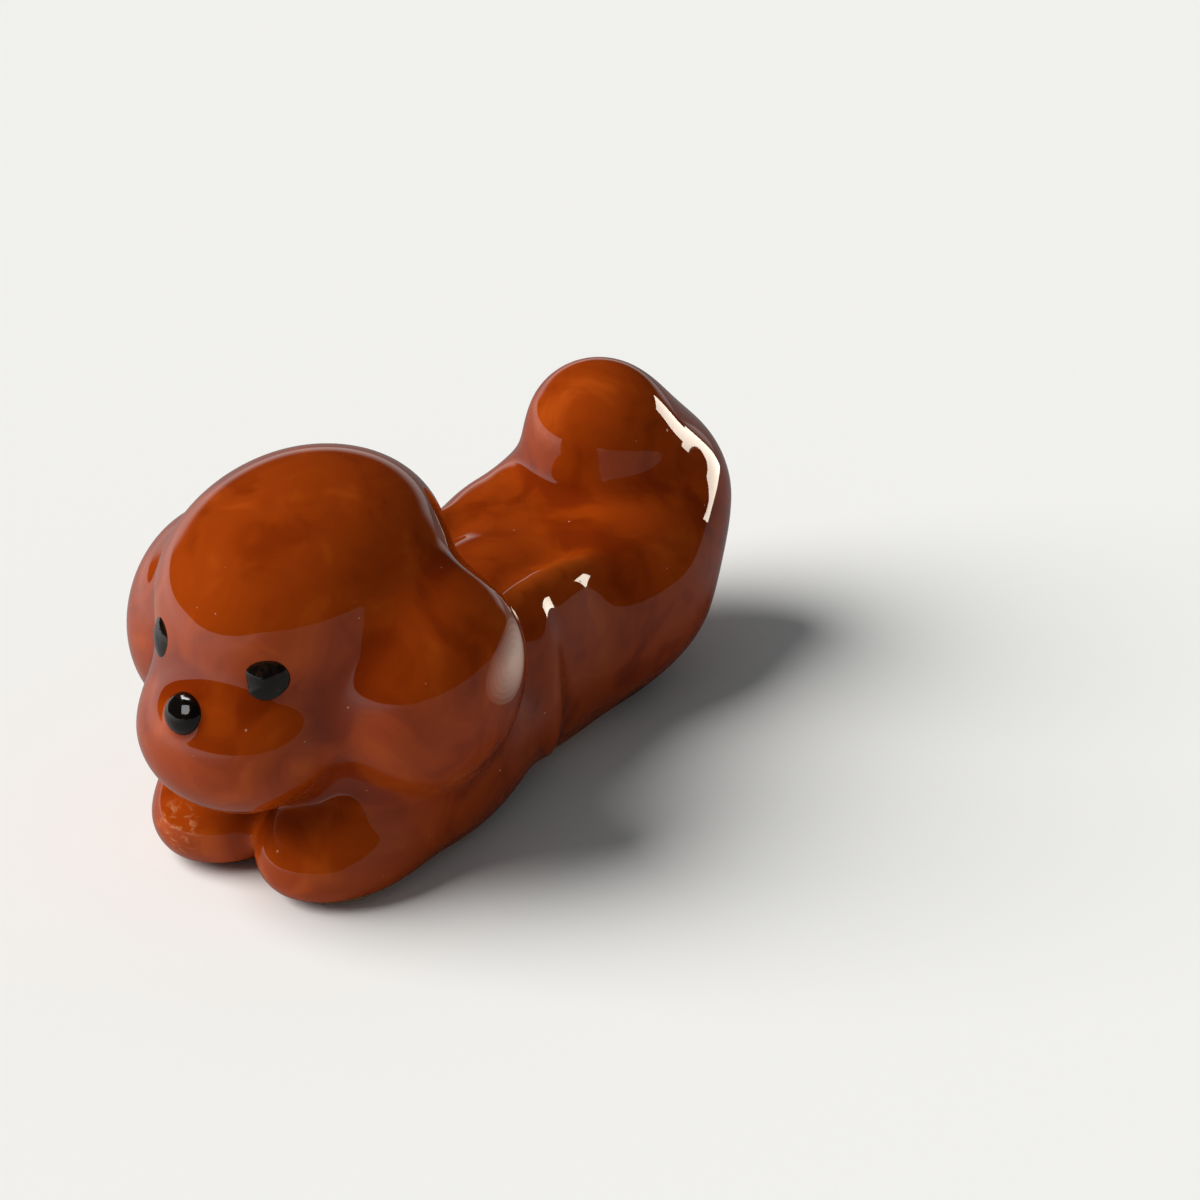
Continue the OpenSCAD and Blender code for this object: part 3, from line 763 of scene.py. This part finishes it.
def eye_dot(node, seat, wide, tall, proud, cut, swing):
    """A brushed dot of enamel that follows the glaze, uneven at its edge and flat at one side."""
    rings, spokes = 14, 56
    sunk, tucked, clear = 0.25, 0.02, 3
    _, up, *_ = under_enamel.find_nearest(seat)
    side = Vector((-up.y, up.x, 0)).normalized()
    rise = up.cross(side)
    places, under, shares = [], [], []
    for ring in range(rings + 1):
        share = ring / rings
        for k in range(1 if ring == 0 else spokes):
            turn = math.tau * k / spokes
            edge = 1 + 0.012 * math.sin(2 * turn + swing) + 0.01 * math.sin(5 * turn + 3 * swing)
            flat_side = -cut * share - 0.04 * share * math.sin(3 * turn)
            across = max(share * edge * math.cos(turn), flat_side)
            start = (seat + side * across * wide / 2
                     + rise * share * edge * math.sin(turn) * tall / 2)
            hit, *_ = under_enamel.ray_cast(start + up * clear, -up)
            lift = proud * (1 - share * share) ** 0.85 - tucked * share
            places.append(hit + up * lift)
            under.append(hit - up * sunk)
            shares.append(share)
    back = len(places)
    faces = ringed_faces(rings, spokes)
    faces += [tuple(i + back for i in face[::-1]) for face in faces]
    rim = 1 + (rings - 1) * spokes
    low = back + rim
    faces += [(rim + k, low + k, low + (k + 1) % spokes, rim + (k + 1) % spokes)
              for k in range(spokes)]
    object_of(node + "_dot", node, "black_enamel", np.array(places + under) * MM, faces, enamel,
              rim=shares + shares)


def nose_bead(node):
    """A full drop of enamel that has slumped a little under its own weight."""
    rings, spokes = 26, 48
    flattened, widened = 0.97, 1.05
    way = Vector((0, -0.902, 0.432))
    side = Vector((1, 0, 0))
    rise = way.cross(side)
    places = []
    for ring in range(rings + 1):
        tip = math.pi * ring / rings
        for k in range(1 if ring in (0, rings) else spokes):
            turn = math.tau * k / spokes
            out = side * math.cos(turn) + rise * math.sin(turn)
            lopsided = 0.012 * (1 + math.sin(2 * turn + 0.7)) * math.sin(tip)
            uneven = 1 - lopsided - 0.014 * math.sin(1.5 * tip) ** 2
            drop = way * math.cos(tip) * flattened + out * math.sin(tip) * widened
            places.append(NOSE_MIDDLE + drop * NOSE_RADIUS * uneven)
    faces = ringed_faces(rings - 1, spokes)
    last = len(places) - 1
    start = last - spokes
    faces += [(last, start + (k + 1) % spokes, start + k) for k in range(spokes)]
    object_of(node + "_bead", node, "black_enamel", np.array(places) * MM, faces, enamel)


nose_bead("nose")
eye_dot("eye_left", Vector((4.35, -23.35, 16.65)),
        wide=2.85, tall=2.6, proud=0.45, cut=0.84, swing=1.0)
eye_dot("eye_right", Vector((-3.5, -23.9, 17.45)),
        wide=2.4, tall=2.5, proud=0.3, cut=1.1, swing=4.0)

foot_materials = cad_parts["foot"].data.materials
foot_materials.clear()
foot_materials.append(bare_clay)


# ---------------------------------------------------------------- floor, light and camera

FLOOR_REACH = 6.0  # metres
floor_mesh = bpy.data.meshes.new("table_top")
floor_mesh.from_pydata([(FLOOR_REACH * x, FLOOR_REACH * y, 0)
                        for x, y in ((-1, -1), (1, -1), (1, 1), (-1, 1))], [], [(0, 1, 2, 3)])
floor_mesh.materials.append(floor_material())
floor = bpy.data.objects.new("table_top", floor_mesh)
scene.collection.objects.link(floor)


def soft_sun(name, azimuth, height, strength, spread, colour):
    """Parallel soft light from a compass direction and height, unseen in the glaze."""
    light = bpy.data.lights.new(name, "SUN")
    light.energy = strength
    light.angle = math.radians(spread)
    light.color = colour
    lamp = bpy.data.objects.new(name, light)
    lamp.rotation_euler = (math.radians(90 - height), 0, math.radians(azimuth + 90))
    lamp.visible_glossy = False
    scene.collection.objects.link(lamp)


def mirrored_lamp(name, receivers, aim, azimuth, height, away, wide, tall, radiance,
                  colour=(1, 1, 1), shape="RECTANGLE"):
    """A lamp in a direction seen from a place in mm, which only some pieces reflect."""
    light = bpy.data.lights.new(name, "AREA")
    light.shape, light.size, light.size_y = shape, wide * MM, tall * MM
    light.energy = math.pi * radiance * wide * tall * MM * MM
    light.color = colour
    lamp = bpy.data.objects.new(name, light)
    around, up = math.radians(azimuth), math.radians(height)
    way = Vector((math.cos(around) * math.cos(up), math.sin(around) * math.cos(up), math.sin(up)))
    lamp.location = (Vector(aim) + way * away) * MM
    lamp.rotation_mode = "QUATERNION"
    lamp.rotation_quaternion = way.to_track_quat("Z", "Y")
    lamp.visible_diffuse = lamp.visible_camera = False
    scene.collection.objects.link(lamp)
    shown_by = bpy.data.collections.new(name)
    for receiver in receivers:
        shown_by.objects.link(bpy.data.objects[receiver])
    lamp.light_linking.receiver_collection = shown_by


soft_sun("window_light", WINDOW_AZIMUTH, WINDOW_HEIGHT, strength=4.05, spread=50,
         colour=(1.0, 0.985, 0.975))

WARM_WHITE = (1.0, 0.91, 0.76)
mirrored_lamp("overhead", ("nose_bead", "eye_left_dot", "eye_right_dot"), NOSE_MIDDLE,
              azimuth=125, height=60, away=300, wide=190, tall=190, radiance=14)
mirrored_lamp("front_pane", ("nose_bead",), NOSE_MIDDLE,
              azimuth=-55, height=51, away=300, wide=200, tall=230, radiance=5)
mirrored_lamp("back_window", ("tail_glazed",), (6, 12, 14),
              azimuth=66, height=8, away=500, wide=176, tall=180, radiance=11, colour=WARM_WHITE)
mirrored_lamp("rump_window", ("torso_glazed",), (6.5, 21, 14),
              azimuth=64, height=3, away=40, wide=24, tall=12, radiance=11, colour=WARM_WHITE)
for step in range(1, 7):  # one behind the other, so that together they fade out at their edge
    mirrored_lamp(f"ear_glow_{step}", ("ear_left_glazed",), (13.4, -11.1, 14.9),
                  azimuth=62, height=-15, away=20.5 + 0.4 * step, wide=5.5 * step, tall=3 * step,
                  radiance=0.3, colour=WARM_WHITE, shape="ELLIPSE")

DARK_ROOM, PALE_SWEEP = (0.012, 0.010, 0.009), (0.75, 0.73, 0.70)
ROOM_FILL, FLOOR_FAR_OFF = (0.143, 0.160, 0.166), (0.871, 0.868, 0.840)


def window_in(tree, direction, azimuth, height, wide, tall, soft):
    """A soft-edged window in the dark room that the glaze mirrors, from 0 to 1."""
    x, y, z = parts_of(tree, direction)
    across = number(tree, "ARCTAN2", y, x) * (180 / math.pi)
    up = number(tree, "ARCSINE", z) * (180 / math.pi)
    across = ranged(size_of(across - azimuth), wide / 2 - soft, wide / 2 + soft, 1.0, 0.0)
    return across * ranged(size_of(up - height), tall / 2 - soft, tall / 2 + soft, 1.0, 0.0)


world = bpy.data.worlds.new("studio")
world.use_nodes = True
scene.world = world
sky = world.node_tree
direction = sky.nodes.new("ShaderNodeTexCoord").outputs["Generated"]
path = sky.nodes.new("ShaderNodeLightPath")
sweep = window_in(sky, direction, azimuth=125, height=0, wide=84, tall=14, soft=5)
mirrored = tint(sky, sweep, DARK_ROOM, PALE_SWEEP)
lit = tint(sky, Flow(path.outputs["Is Glossy Ray"]), ROOM_FILL, mirrored)
seen = tint(sky, Flow(path.outputs["Is Camera Ray"]), lit, FLOOR_FAR_OFF)
feed(sky, sky.nodes["Background"].inputs["Color"], seen)

camera_data = bpy.data.cameras.new("camera")
camera_data.sensor_width = 36
camera_data.lens = 117.96
camera_data.clip_start, camera_data.clip_end = 0.01, 20
camera = bpy.data.objects.new("camera", camera_data)
camera.location = Vector((137.78, -180.83, 127.27)) * MM
aim = Vector((8.16, 5.82, 10.86)) * MM
camera.rotation_mode = "QUATERNION"
camera.rotation_quaternion = (aim - camera.location).to_track_quat("-Z", "Y")
scene.collection.objects.link(camera)
scene.camera = camera

scene.view_settings.view_transform = "Standard"
